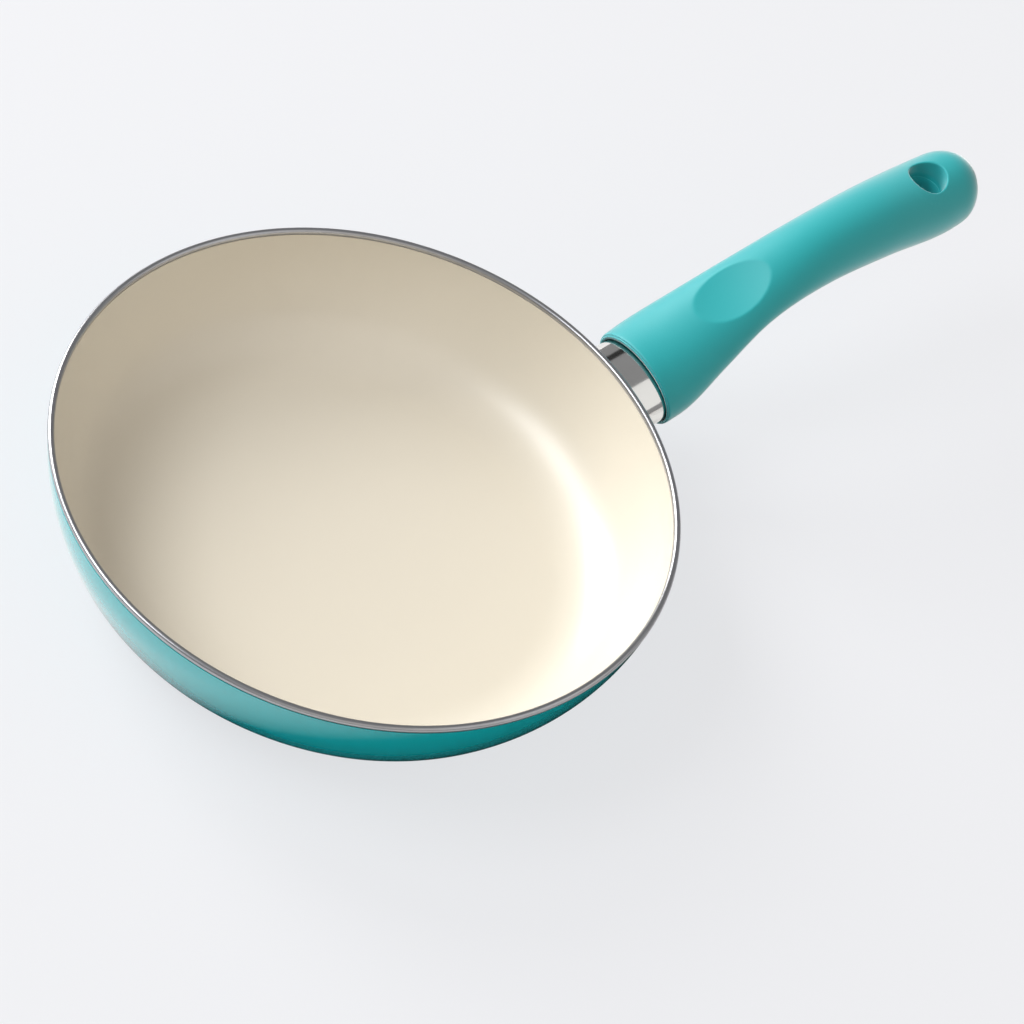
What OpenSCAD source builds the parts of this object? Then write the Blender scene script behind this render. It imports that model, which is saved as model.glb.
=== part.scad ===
// Omelette pan: a pressed aluminium bowl with a cream lining, a teal outer coat and a bare
// bottom and rim. A bracket welded to the wall carries a steel ferrule and a soft-grip handle,
// which one screw holds from below. +X runs along the handle, +Z is up, and the origin is the
// centre of the bottom face.

/* [Bowl] */
// Outer radius at the rim
rim_r = 120; // [100:1:150]
// Height of the rim above the bottom face
pan_h = 50; // [44:0.5:56]
// Radius of the rounded bare edge
bead_r = 1.3; // [1.1:0.05:1.8]
// Thickness of the aluminium wall
wall_t = 1.9; // [1.5:0.1:2.1]
// Thickness of the aluminium floor
floor_t = 3; // [2.2:0.1:4]
// Lean of the wall at the rim, from upright
flare = 5; // [2:0.5:9]
// Lean at which the wall turns into the corner
turn = 31; // [26:1:36]
// Radius of the wall's upper sweep
sweep_r = 76; // [66:1:84]
// Thickness of the coats inside and outside
coat_t = 0.25; // [0.2:0.05:0.35]
// Distance from the middle of the edge down to where the coats stop
coat_drop = 1.2; // [1.1:0.1:3]
// Lean at which the outer coat stops, so that the bottom is bare
coat_end = 80; // [74:1:82]

/* [Bottom] */
// Number of turned grooves in the bottom
grooves = 6; // [2:1:8]
// Width of each groove
groove_w = 1.6; // [1:0.1:3]
// Depth of each groove
groove_d = 0.3; // [0.15:0.05:0.6]
// Distance between grooves
groove_pitch = 11; // [6:0.5:12]

/* [Handle] */
// Length of the handle from its mouth to its tip
handle_len = 175.5; // [150:0.5:200]
// Rise of the handle's axis above level
handle_tilt = 10.5; // [6:0.5:14]
// Distance from the rim to the handle's mouth
mouth_gap = 21.5; // [18:0.5:28]
// Height of the middle of the mouth above the bottom face
mouth_z = 26; // [24:0.5:30]
// Radius of the rounded lip at the mouth
lip_r = 1.4; // [1:0.1:2]
// Length of the rounded tip
tip_len = 14.5; // [12:0.5:20]
// Thickness of the soft skin on the handle
skin_t = 1.8; // [1.2:0.1:2.2]

/* [Thumb rest] */
// Distance from the mouth to the middle of the thumb rest
thumb_at = 47; // [40:1:60]
// Half the length of the thumb rest
thumb_len = 17; // [12:1:20]
// How far the thumb rest lies below the crown of the handle
thumb_d = 2.4; // [1:0.1:3]

/* [Hanging hole] */
// Radius of the hole's lower part
hang_r = 7.6; // [6:0.1:8.5]
// How much wider the upper part of the hole is, in radius
hang_step = 0.4; // [0.2:0.1:0.8]
// Depth of the wider part below the crown of the handle
hang_depth = 9; // [6:0.5:12]
// Distance from the tip to the middle of the hole
hang_inset = 26; // [23:0.5:32]

/* [Ferrule] */
// Half the width of the ferrule
ferrule_w = 20; // [18:0.1:20.2]
// Half the height of the ferrule
ferrule_h = 14; // [13:0.1:14.2]
// Thickness of the ferrule's steel
ferrule_t = 0.8; // [0.5:0.1:1.2]
// How far the ferrule reaches into the handle's mouth
ferrule_in = 4; // [3:0.5:4.5]
// Clearance between the ferrule and the mouth around it
mouth_clear = 0.4; // [0.2:0.1:0.5]
// Clearance between sliding fits inside the handle
slide_clear = 0.2; // [0.1:0.05:0.3]

/* [Bracket and screw] */
// Width of the bracket's tongue
tongue_w = 18; // [14:1:20]
// Thickness of the bracket's steel
bracket_t = 3; // [2:0.5:3.5]
// Height of the tongue's middle above the handle's axis
tongue_up = 4.5; // [4:0.1:5]
// Clearance between the bracket's foot and the ferrule around it
foot_gap = 1.5; // [1:0.5:4]
// How far the bracket's ribs reach below the handle's axis
rib_drop = 7; // [4:0.5:8]
// Distance from the mouth to the screw
screw_at = 14; // [12:0.5:16]
// Radius of the screw's shank
screw_r = 2.5; // [2:0.5:2.5]
// Radius of the screw's head
head_r = 4.5; // [4:0.1:4.8]
// Height of the screw's head
head_h = 3; // [2.4:0.1:3.2]
// Thickness of the core that the screw clamps under the tongue
clamp_t = 7.5; // [7:0.1:8.5]
// Thickness of the flat washer
washer_t = 1; // [0.6:0.1:1.2]
// Thickness of the spring washer
spring_t = 1.2; // [0.8:0.1:1.4]
// Height of the nut on the tongue
nut_h = 3.5; // [2.5:0.1:4]
// Width of the nut across its flats
nut_af = 8; // [7:0.5:9]

/* [Hidden] */
eps = 0.01;
over = 5;
thread_clear = 0.05;

// The bowl's outline follows the lean of its wall: one sweep down to turn, then the corner
bead_x = rim_r - bead_r;
bead_z = pan_h - bead_r;
corner_r = (bead_z - sweep_r * (sin(turn) - sin(flare))) / (1 - sin(turn));
coat_top = asin(sin(flare) + coat_drop / sweep_r);
sweep_steps = 10;
corner_steps = 12;
end_steps = 3;
function steps(a, b, n) = [for (i = [0:n]) a + (b - a) * i / n];
function steps_on(a, b, n) = [for (i = [1:n]) a + (b - a) * i / n];
function outer_x(lean) = bead_x + wall_t / 2 - sweep_r * (cos(flare) - cos(min(lean, turn)))
    - corner_r * (cos(turn) - cos(max(lean, turn)));
function outer_z(lean) = bead_z - sweep_r * (sin(min(lean, turn)) - sin(flare))
    - corner_r * (sin(max(lean, turn)) - sin(turn));
function smooth(u) = u * u * (3 - 2 * u);
function metal_t(lean) = wall_t
    + (floor_t - wall_t) * smooth(max(0, lean - turn) / (90 - turn));
// A point of the outline, moved into the bowl by depth
function outline_at(lean, depth) =
    [outer_x(lean) - depth * cos(lean), outer_z(lean) + depth * sin(lean)];
leans = concat([flare], steps(coat_top, turn, sweep_steps), steps_on(turn, coat_end, corner_steps),
               steps_on(coat_end, 90, end_steps));
function face(from, to, shift, inside) = [for (a = leans) if (a > from - eps && a < to + eps)
    outline_at(a, shift + (inside ? metal_t(a) : 0))];
function reversed(v) = [for (i = [len(v) - 1:-1:0]) v[i]];

// The handle's frame: x along its axis from the mouth, z up from the axis
mouth_x = rim_r + mouth_gap;
station = [for (s = [0, 12, 30, 55, 85, 120, 150, 175]) s * handle_len / 175];
crown = [17.3, 18.6, 22.6, 29, 33.9, 33, 28.2, 26.4];
belly = [-16.2, -12.6, -2, 8.9, 8.8, 3.2, -3.7, -4.7];
half_w = [22, 22.3, 19.7, 16.3, 15.1, 15.9, 16.7, 14.6];
ring_points = 40;
tip_round = 2.8;
thumb_reach = 1.3;
no_ceiling = 999;
last = len(station) - 1;
function slope(v, i) = let(a = max(i - 1, 0), b = min(i + 1, last))
    (v[b] - v[a]) / (station[b] - station[a]);
function span_of(s) = max([for (i = [0:last - 1]) if (i == 0 || s >= station[i]) i]);
function curve(v, s) =
    let(i = span_of(s), h = station[i + 1] - station[i], t = (s - station[i]) / h)
    v[i] * (2 * t ^ 3 - 3 * t ^ 2 + 1) + h * slope(v, i) * (t ^ 3 - 2 * t ^ 2 + t)
    + v[i + 1] * (3 * t ^ 2 - 2 * t ^ 3) + h * slope(v, i + 1) * (t ^ 3 - t ^ 2);
function lip(s) = let(u = min(s / lip_r, 1)) lip_r * (1 - sqrt(1 - (1 - u) ^ 2));
function fade(s, inset, power) =
    let(u = max(0, (s - handle_len + tip_len) / (tip_len - inset))) (1 - min(u, 1) ^ power) ^ 0.5;
// Half width, half height and middle height of the section at s, made smaller by inset
function section(s, inset) =
    let(edge = inset + lip(s), top = curve(crown, s) - edge, low = curve(belly, s) + edge)
    [(curve(half_w, s) - edge) * fade(s, inset, 2),
     (top - low) / 2 * fade(s, inset, tip_round), (top + low) / 2];
// The thumb rest is a shallow trough that is round along the handle and level across it
thumb_floor = curve(crown, thumb_at) - thumb_d;
thumb_rise = (curve(crown, thumb_at + thumb_len) + curve(crown, thumb_at - thumb_len)) / 2
    - thumb_floor;
function thumb_z(s) = thumb_floor + thumb_rise * ((s - thumb_at) / thumb_len) ^ 2
    + (s - thumb_at) * slope_at(thumb_at);
function slope_at(s) = (curve(crown, s + 1) - curve(crown, s - 1)) / 2;
function near_thumb(s) = abs(s - thumb_at) < thumb_reach * thumb_len;
function oval(s, w, h, z, ceiling) = [for (k = [0:ring_points - 1]) let(a = 360 * k / ring_points)
    [s, w * cos(a), min(z + h * sin(a), ceiling)]];
function handle_ring(s, inset) = let(f = section(s, inset))
    oval(s, f[0], f[1], f[2], near_thumb(s) ? thumb_z(s) - inset : no_ceiling);
ring_gap = 4.6;
tip_rings = 7;
function body_stops(from, inset) = let(to = handle_len - tip_len, n = ceil((to - from) / ring_gap))
    concat(steps(from, to, n),
           [for (i = [1:tip_rings]) to + (tip_len - inset) * sin(84 * i / tip_rings)]);
lip_stops = [for (i = [0:2]) lip_r * (1 - cos(30 * i))];

// The hanging hole stands upright, where the top of the handle is level
hang_s = handle_len - hang_inset;
hang_x = mouth_x + hang_s * cos(handle_tilt) - curve(crown, hang_s) * sin(handle_tilt);
hang_top = mouth_z + hang_s * sin(handle_tilt) + curve(crown, hang_s) * cos(handle_tilt);
hang_low = mouth_z + hang_s * sin(handle_tilt) + curve(belly, hang_s) * cos(handle_tilt);
hang_ledge = hang_top - hang_depth;
lining_reach = hang_r + skin_t + 2;

// The screw's stack, as heights in the handle's frame
tongue_low = tongue_up - bracket_t / 2;
tongue_top = tongue_up + bracket_t / 2;
tongue_end = screw_at + tongue_w / 2;
seat_z = tongue_low - clamp_t;
washer_r = head_r + 0.5;
pocket_r = washer_r + 0.6;
pocket_d = 20;
nut_r = nut_af / 2 / cos(30);
spigot_len = 7;
drive_w = 1;
drive_d = 1.6;
slit_w = 0.8;
slit_turn = 200;
foot_x = ferrule_w - ferrule_t - foot_gap;
foot_z = ferrule_h - ferrule_t - foot_gap;
run_in = 60;

module on_handle() translate([mouth_x, 0, mouth_z]) rotate([0, -handle_tilt, 0]) children();
module bowl_ring(points) rotate_extrude($fn = 96) polygon(points);

// Skin of rings: the first and the last are closed by a flat end. Where it runs back, its
// triangles lie as they do on the way out, so that an inner face meets what fills it.
function back(i, rings) = rings[i + 1][0][0] < rings[i][0][0];
module tube_of(rings) {
    n = ring_points;
    m = len(rings);
    polyhedron(
        points = [for (r = rings) for (p = r) p],
        faces = concat(
            [[for (k = [0:n - 1]) k]],
            [[for (k = [n - 1:-1:0]) (m - 1) * n + k]],
            [for (i = [0:m - 2]) for (k = [0:n - 1]) let(b = back(i, rings) ? i * n + (k + 1) % n : i * n + k)
                [b, (i + 1) * n + k, (i + 1) * n + (k + 1) % n]],
            [for (i = [0:m - 2]) for (k = [0:n - 1])
                let(b = back(i, rings) ? (i + 1) * n + k : (i + 1) * n + (k + 1) % n)
                [i * n + k, b, i * n + (k + 1) % n]]
        )
    );
}

module oval_bar(w, h, from, to) translate([from, 0, 0]) rotate([90, 0, 90])
    linear_extrude(to - from) polygon([for (k = [0:63]) [w * cos(k * 5.625), h * sin(k * 5.625)]]);

// Everything inside the bowl's outer face, moved out by grow
module bowl_solid(grow) bowl_ring(concat(
    [[0, -grow], [0, pan_h + over], [outer_x(flare) + grow, pan_h + over]],
    face(flare, 90, -grow, false)));

module pan_body() color("silver") difference() {
    union() {
        bowl_ring(concat(face(flare, 90, 0, false), [[0, 0], [0, floor_t]],
                         reversed(face(flare, 90, 0, true))));
        rotate_extrude($fn = 96) translate([bead_x, bead_z]) circle(bead_r, $fn = 48);
    }
    for (i = [1:grooves]) if (i * groove_pitch + groove_w < outer_x(90)) rotate_extrude($fn = 96)
        translate([i * groove_pitch, -over]) square([groove_w, groove_d + over]);
}

module interior_coating() color("cornsilk") bowl_ring(concat(
    face(coat_top, 90, 0, true), [[0, floor_t], [0, floor_t + coat_t]],
    reversed(face(coat_top, 90, coat_t, true))));

module foot_outline(extra) on_handle() oval_bar(foot_x + extra, foot_z + extra, -run_in, 0);

module exterior_enamel() color("darkcyan") difference() {
    bowl_ring(concat(face(coat_top, coat_end, 0, false),
                     reversed(face(coat_top, coat_end, -coat_t, false))));
    foot_outline(slide_clear);
}

module handle_bracket() color("lightgray") {
    intersection() {
        difference() {
            bowl_solid(bracket_t);
            bowl_solid(0);
        }
        foot_outline(0);
    }
    difference() {
        on_handle() {
            translate([-run_in, -tongue_w / 2, tongue_low])
                cube([run_in + tongue_end, tongue_w, bracket_t]);
            for (y = [-tongue_w / 2, tongue_w / 2 - bracket_t])
                translate([-run_in, y, -rib_drop])
                    cube([run_in - spigot_len - 1, bracket_t, rib_drop + tongue_up]);
        }
        bowl_solid(bracket_t / 2);
        on_handle() translate([screw_at, 0, tongue_low - over])
            cylinder(r = screw_r + thread_clear, h = bracket_t + 2 * over, $fn = 32);
    }
}

module clinch_nut() color("gainsboro") on_handle() translate([screw_at, 0, tongue_top]) difference() {
    cylinder(r = nut_r, h = nut_h, $fn = 6);
    translate([0, 0, -over]) cylinder(r = screw_r + thread_clear, h = nut_h + 2 * over, $fn = 32);
}

module ferrule() color("whitesmoke") difference() {
    on_handle() difference() {
        oval_bar(ferrule_w, ferrule_h, -run_in, ferrule_in);
        oval_bar(ferrule_w - ferrule_t, ferrule_h - ferrule_t, -run_in - over, ferrule_in + over);
    }
    bowl_solid(coat_t + slide_clear);
}

// What is cut out of the core and the grip for the hanging hole and the screw
module hang_cut(r, from) translate([hang_x, 0, from]) cylinder(r = r, h = hang_top + over - from, $fn = 64);
module screw_pocket() on_handle() translate([screw_at, 0, seat_z - pocket_d])
    cylinder(r = pocket_r, h = pocket_d, $fn = 48);

module handle_core() color("teal") difference() {
    on_handle() {
        spigot_w = ferrule_w - ferrule_t - slide_clear;
        spigot_h = ferrule_h - ferrule_t - slide_clear;
        tube_of(concat([for (s = [-spigot_len, ferrule_in]) oval(s, spigot_w, spigot_h, 0, no_ceiling)],
                       [for (s = body_stops(ferrule_in, skin_t)) handle_ring(s, skin_t)]));
    }
    hang_cut(hang_r + skin_t, hang_low - over);
    screw_pocket();
    on_handle() {
        translate([screw_at, 0, seat_z - over])
            cylinder(r = screw_r + slide_clear, h = over + clamp_t + over, $fn = 32);
        translate([-spigot_len - over, -tongue_w / 2 - slide_clear, tongue_low])
            cube([spigot_len + over + tongue_end + slide_clear, tongue_w + 2 * slide_clear,
                  bracket_t + slide_clear]);
        translate([-spigot_len - over, -nut_r - slide_clear, tongue_up])
            cube([spigot_len + over + screw_at + nut_r + slide_clear, 2 * (nut_r + slide_clear),
                  bracket_t / 2 + nut_h + slide_clear]);
    }
}

module soft_grip() color("turquoise") difference() {
    union() {
        on_handle() tube_of(concat(
            [for (s = reversed(body_stops(ferrule_in, skin_t))) handle_ring(s, skin_t)],
            [for (s = [ferrule_in, 0])
                oval(s, ferrule_w + mouth_clear, ferrule_h + mouth_clear, 0, no_ceiling)],
            [for (s = lip_stops) handle_ring(s, 0)],
            [for (s = body_stops(lip_r, 0)) handle_ring(s, 0)]));
        intersection() {
            hang_cut(hang_r + skin_t, hang_low - over);
            on_handle() tube_of([for (s = steps(hang_s - lining_reach, hang_s + lining_reach, 6))
                handle_ring(s, skin_t / 2)]);
        }
    }
    hang_cut(hang_r, hang_low - over);
    hang_cut(hang_r + hang_step, hang_ledge);
    screw_pocket();
}

module handle_screw() color("silver") on_handle() translate([screw_at, 0, seat_z]) difference() {
    union() {
        translate([0, 0, -washer_t - spring_t - head_h]) cylinder(r = head_r, h = head_h, $fn = 48);
        translate([0, 0, -washer_t - spring_t - eps])
            cylinder(r = screw_r, h = washer_t + spring_t + clamp_t + bracket_t + nut_h + eps, $fn = 32);
    }
    for (turned = [0, 90]) rotate([0, 0, turned])
        translate([-head_r / 2, -drive_w / 2, -washer_t - spring_t - head_h - over])
            cube([head_r, drive_w, drive_d + over]);
}

module washer(outer, from, thick) on_handle() translate([screw_at, 0, from]) difference() {
    cylinder(r = outer, h = thick, $fn = 48);
    translate([0, 0, -over]) cylinder(r = screw_r + slide_clear, h = thick + 2 * over, $fn = 32);
}

module flat_washer() color("silver") washer(washer_r, seat_z - washer_t, washer_t);

module spring_washer() color("dimgray") difference() {
    washer(head_r - 0.2, seat_z - washer_t - spring_t, spring_t);
    on_handle() translate([screw_at, 0, seat_z - washer_t - spring_t - over]) rotate([0, 0, slit_turn])
        translate([0, -slit_w / 2, 0]) cube([head_r + over, slit_w, spring_t + 2 * over]);
}

pan_body();
interior_coating();
exterior_enamel();
handle_bracket();
clinch_nut();
ferrule();
handle_core();
soft_grip();
handle_screw();
spring_washer();
flat_washer();
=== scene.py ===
"""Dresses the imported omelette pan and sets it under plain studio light.

The pan is one rigid body. The bowl, its two coats, the ferrule and the grip are modelled here and
stand for their CAD nodes; the bracket, core, nut, screw and washers keep their CAD meshes. The pan's
sizes are in millimetres and become metres where a mesh is made. The studio's are in metres, but for
the camera's place.
"""

import logging
import math
from contextlib import contextmanager
from dataclasses import dataclass
from enum import Enum
from functools import cache
from typing import Callable, Iterator, Sequence

import bmesh
import bpy
from bpy.types import Collection, Material, Node, NodeSocket, NodeTree, Object
from mathutils import Matrix, Vector

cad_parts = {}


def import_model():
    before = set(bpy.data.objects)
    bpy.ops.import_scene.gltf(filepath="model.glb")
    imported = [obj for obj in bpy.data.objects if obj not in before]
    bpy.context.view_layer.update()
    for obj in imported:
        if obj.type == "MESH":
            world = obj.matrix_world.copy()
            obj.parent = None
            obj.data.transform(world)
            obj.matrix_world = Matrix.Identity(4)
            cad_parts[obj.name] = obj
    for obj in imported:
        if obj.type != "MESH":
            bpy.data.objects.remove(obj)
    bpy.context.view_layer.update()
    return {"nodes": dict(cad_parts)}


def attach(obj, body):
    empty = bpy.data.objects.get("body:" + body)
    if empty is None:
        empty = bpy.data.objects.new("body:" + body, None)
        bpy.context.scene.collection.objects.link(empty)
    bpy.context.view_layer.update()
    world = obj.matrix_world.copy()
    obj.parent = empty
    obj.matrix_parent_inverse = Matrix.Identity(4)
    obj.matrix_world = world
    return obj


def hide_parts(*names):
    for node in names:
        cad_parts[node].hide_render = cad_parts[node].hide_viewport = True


LOG = logging.getLogger("omelette_pan")
MM = 0.001
BODY = "root"
WELD = 0.001  # mm, within which vertices become one
NEAR = 0.01  # mm, within which a vertex lies on a ring

Point = tuple[float, float]
Triple = tuple[float, float, float]
Colour = Triple
Axes = tuple[Vector, Vector, Vector]
Value = float | Colour | NodeSocket


class Side(Enum):
    """Which side of the handle an opening is cut into."""

    TOP = 1
    BOTTOM = -1


class Slot(Enum):
    """The record's material slot names of the new pieces; listed by the bowl, but not read."""

    ALUMINIUM = "bare_aluminium"
    CERAMIC = "cream_ceramic"
    COAT = "teal_coat"
    POLISHED = "polished_steel"
    GRIP = "soft_teal"


def steps(start: float, stop: float, count: int) -> list[float]:
    """Values from start to stop in count even steps, both ends included."""
    return [start + (stop - start) * i / count for i in range(count + 1)]


class Bench:
    """The modelling steps that every piece shares."""

    @staticmethod
    def clear() -> None:
        """Leaves edit mode, deselects every object and goes back to selecting vertices."""
        if bpy.context.object is not None and bpy.context.object.mode != "OBJECT":
            bpy.ops.object.mode_set(mode="OBJECT")
        bpy.ops.object.select_all(action="DESELECT")
        bpy.context.tool_settings.mesh_select_mode = (True, False, False)

    @staticmethod
    def pick(piece: Object) -> None:
        """Makes one object the only selected and active one.

        Args:
            piece: The object to work on.
        """
        Bench.clear()
        piece.select_set(True)
        bpy.context.view_layer.objects.active = piece

    @staticmethod
    @contextmanager
    def editing(everything: bool = False) -> Iterator[None]:
        """Edits the active object, and leaves edit mode at the end.

        Args:
            everything: Whether its whole mesh is selected first.
        """
        bpy.ops.object.mode_set(mode="EDIT")
        if everything:
            bpy.ops.mesh.select_all(action="SELECT")
        yield
        bpy.ops.object.mode_set(mode="OBJECT")

    @staticmethod
    def select(piece: Object, keep: Callable[[Vector], bool], rim: bool = False) -> None:
        """Selects vertices of a piece in edit mode by their place, or open edges by their middle.

        Args:
            piece: The object in edit mode.
            keep: Says of a place in millimetres whether what lies there is selected.
            rim: Whether open edges are selected, and not vertices.
        """
        mesh = bmesh.from_edit_mesh(piece.data)
        bpy.context.tool_settings.mesh_select_mode = (not rim, rim, False)
        for element in (*mesh.faces, *mesh.edges, *mesh.verts):
            element.select_set(False)
        if rim:
            found = [(e, (e.verts[0].co + e.verts[1].co) / 2) for e in mesh.edges
                     if len(e.link_faces) == 1]
        else:
            found = [(v, v.co) for v in mesh.verts]
        for element, co in found:
            if keep(co / MM):
                element.select_set(True)
        mesh.select_flush_mode()
        bmesh.update_edit_mesh(piece.data)

    @staticmethod
    def weld() -> None:
        """Merges all the vertices that lie together."""
        bpy.ops.mesh.select_all(action="SELECT")
        bpy.ops.mesh.remove_doubles(threshold=WELD * MM)

    @staticmethod
    def face_out() -> None:
        """Turns all the faces outwards."""
        bpy.ops.mesh.select_all(action="SELECT")
        bpy.ops.mesh.normals_make_consistent(inside=False)

    @staticmethod
    def circle(name: str, around: int, radius: float, fill: str = "NOTHING", **at: Triple) -> Object:
        """Adds a circle of edges or, filled, a disc.

        Args:
            name: Its name.
            around: Its number of vertices.
            radius: Its radius in metres.
            fill: "NGON" for a disc.
            at: Its location or rotation.

        Returns:
            The circle, with its object at the origin.
        """
        Bench.clear()
        bpy.ops.mesh.primitive_circle_add(vertices=around, radius=radius, fill_type=fill, **at)
        bpy.ops.object.transform_apply()
        bpy.context.object.name = name
        return bpy.context.object

    @staticmethod
    def lathe(name: str, outline: Sequence[Point], around: int) -> Object:
        """Turns an outline about the Z axis into a closed piece.

        Args:
            name: The piece's name.
            outline: (radius, height) points in millimetres, on the axis at both ends or closed.
            around: Number of steps around the axis.

        Returns:
            The turned object, with its normals outwards.
        """
        Bench.clear()
        bpy.ops.mesh.primitive_plane_add(size=MM, location=(0, 0, 0))
        piece = bpy.context.object
        piece.name = name
        with Bench.editing(everything=True):
            bpy.ops.mesh.merge(type="CENTER")
            bpy.ops.transform.translate(value=(outline[0][0] * MM, 0, outline[0][1] * MM))
            for (x0, z0), (x1, z1) in zip(outline, outline[1:]):
                bpy.ops.mesh.extrude_vertices_move(
                    TRANSFORM_OT_translate={"value": ((x1 - x0) * MM, 0, (z1 - z0) * MM)})
            Bench.weld()
            bpy.ops.mesh.spin(steps=around, angle=math.tau, center=(0, 0, 0), axis=(0, 0, 1))
            Bench.weld()
            Bench.face_out()
        return piece

    @staticmethod
    def apply(piece: Object, kind: str, **settings: object) -> None:
        """Adds a modifier to a piece and applies it.

        Args:
            piece: The object to change.
            kind: The modifier's type.
            settings: The modifier's settings, by name.
        """
        Bench.pick(piece)
        modifier = piece.modifiers.new(kind.lower(), kind)
        for setting, value in settings.items():
            setattr(modifier, setting, value)
        bpy.ops.object.modifier_apply(modifier=modifier.name)

    @staticmethod
    def place(piece: Object, matrix: Matrix) -> None:
        """Moves a piece and applies the move, so that its object stays at the origin.

        Args:
            piece: The object to move.
            matrix: Where it goes, in metres.
        """
        Bench.pick(piece)
        piece.matrix_world = matrix @ piece.matrix_world
        bpy.ops.object.transform_apply(location=True, rotation=True, scale=True)

    @staticmethod
    def smooth(piece: Object, degrees: float) -> None:
        """Shades a piece smooth, with edges sharper than an angle in degrees left crisp."""
        Bench.pick(piece)
        bpy.ops.object.shade_smooth_by_angle(angle=math.radians(degrees))


class Tree:
    """A node tree under construction."""

    def __init__(self, tree: NodeTree) -> None:
        """Starts on a tree that is empty or holds its default nodes."""
        self.tree = tree

    def feed(self, target: NodeSocket, value: Value) -> None:
        """Gives an input its value.

        Args:
            target: The input.
            value: An output to link to it, or the number, vector or colour to set it to.
        """
        if isinstance(value, NodeSocket):
            self.tree.links.new(value, target)
        else:
            target.default_value = (*value, 1.0) if target.type == "RGBA" else value

    def fill(self, node: Node, **values: object) -> None:
        """Sets what a node has by name, with spaces written as underscores.

        Args:
            node: The node.
            values: Its settings, and values or outputs for its inputs.
        """
        for name, value in values.items():
            if hasattr(node, name):
                setattr(node, name, value)
            else:
                self.feed(node.inputs[name.replace("_", " ")], value)

    def add(self, kind: str, *inputs: Value, **values: object) -> Node:
        """Adds a node.

        Args:
            kind: The node's type, without the ShaderNode prefix.
            inputs: Values or outputs for its first inputs.
            values: Others by name, as fill takes them.

        Returns:
            The new node.
        """
        node = self.tree.nodes.new(f"ShaderNode{kind}")
        self.fill(node, **values)
        for target, value in zip(node.inputs, inputs):
            self.feed(target, value)
        return node

    def place(self) -> NodeSocket:
        """The place on the piece, in the piece's own coordinates."""
        return self.add("TexCoord").outputs["Object"]

    def maths(self, operation: str, first: Value, second: Value) -> NodeSocket:
        """The outcome of a Math node on two outputs or numbers."""
        return self.add("Math", first, second, operation=operation).outputs[0]

    def span(self, value: NodeSocket, ends: Point, to: Point = (0.0, 1.0)) -> NodeSocket:
        """Maps a value from one range to another, kept within it.

        Args:
            value: The value.
            ends: Both ends of its range.
            to: What the ends become.

        Returns:
            The mapped value.
        """
        node = self.add("MapRange", Value=value, From_Min=ends[0], From_Max=ends[1],
                        To_Min=to[0], To_Max=to[1])
        return node.outputs["Result"]

    def blend(self, mask: NodeSocket, first: Value, second: Value) -> NodeSocket:
        """Mixes two colours by a mask.

        Args:
            mask: 0 gives the first colour and 1 the second.
            first: The first colour, or an output that gives it.
            second: The second colour, or an output that gives it.

        Returns:
            The mixed colour.
        """
        node = self.add("Mix", mask, data_type="RGBA")
        for socket, colour in zip((s for s in node.inputs if s.type == "RGBA"), (first, second)):
            self.feed(socket, colour)
        return next(s for s in node.outputs if s.type == "RGBA")


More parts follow.
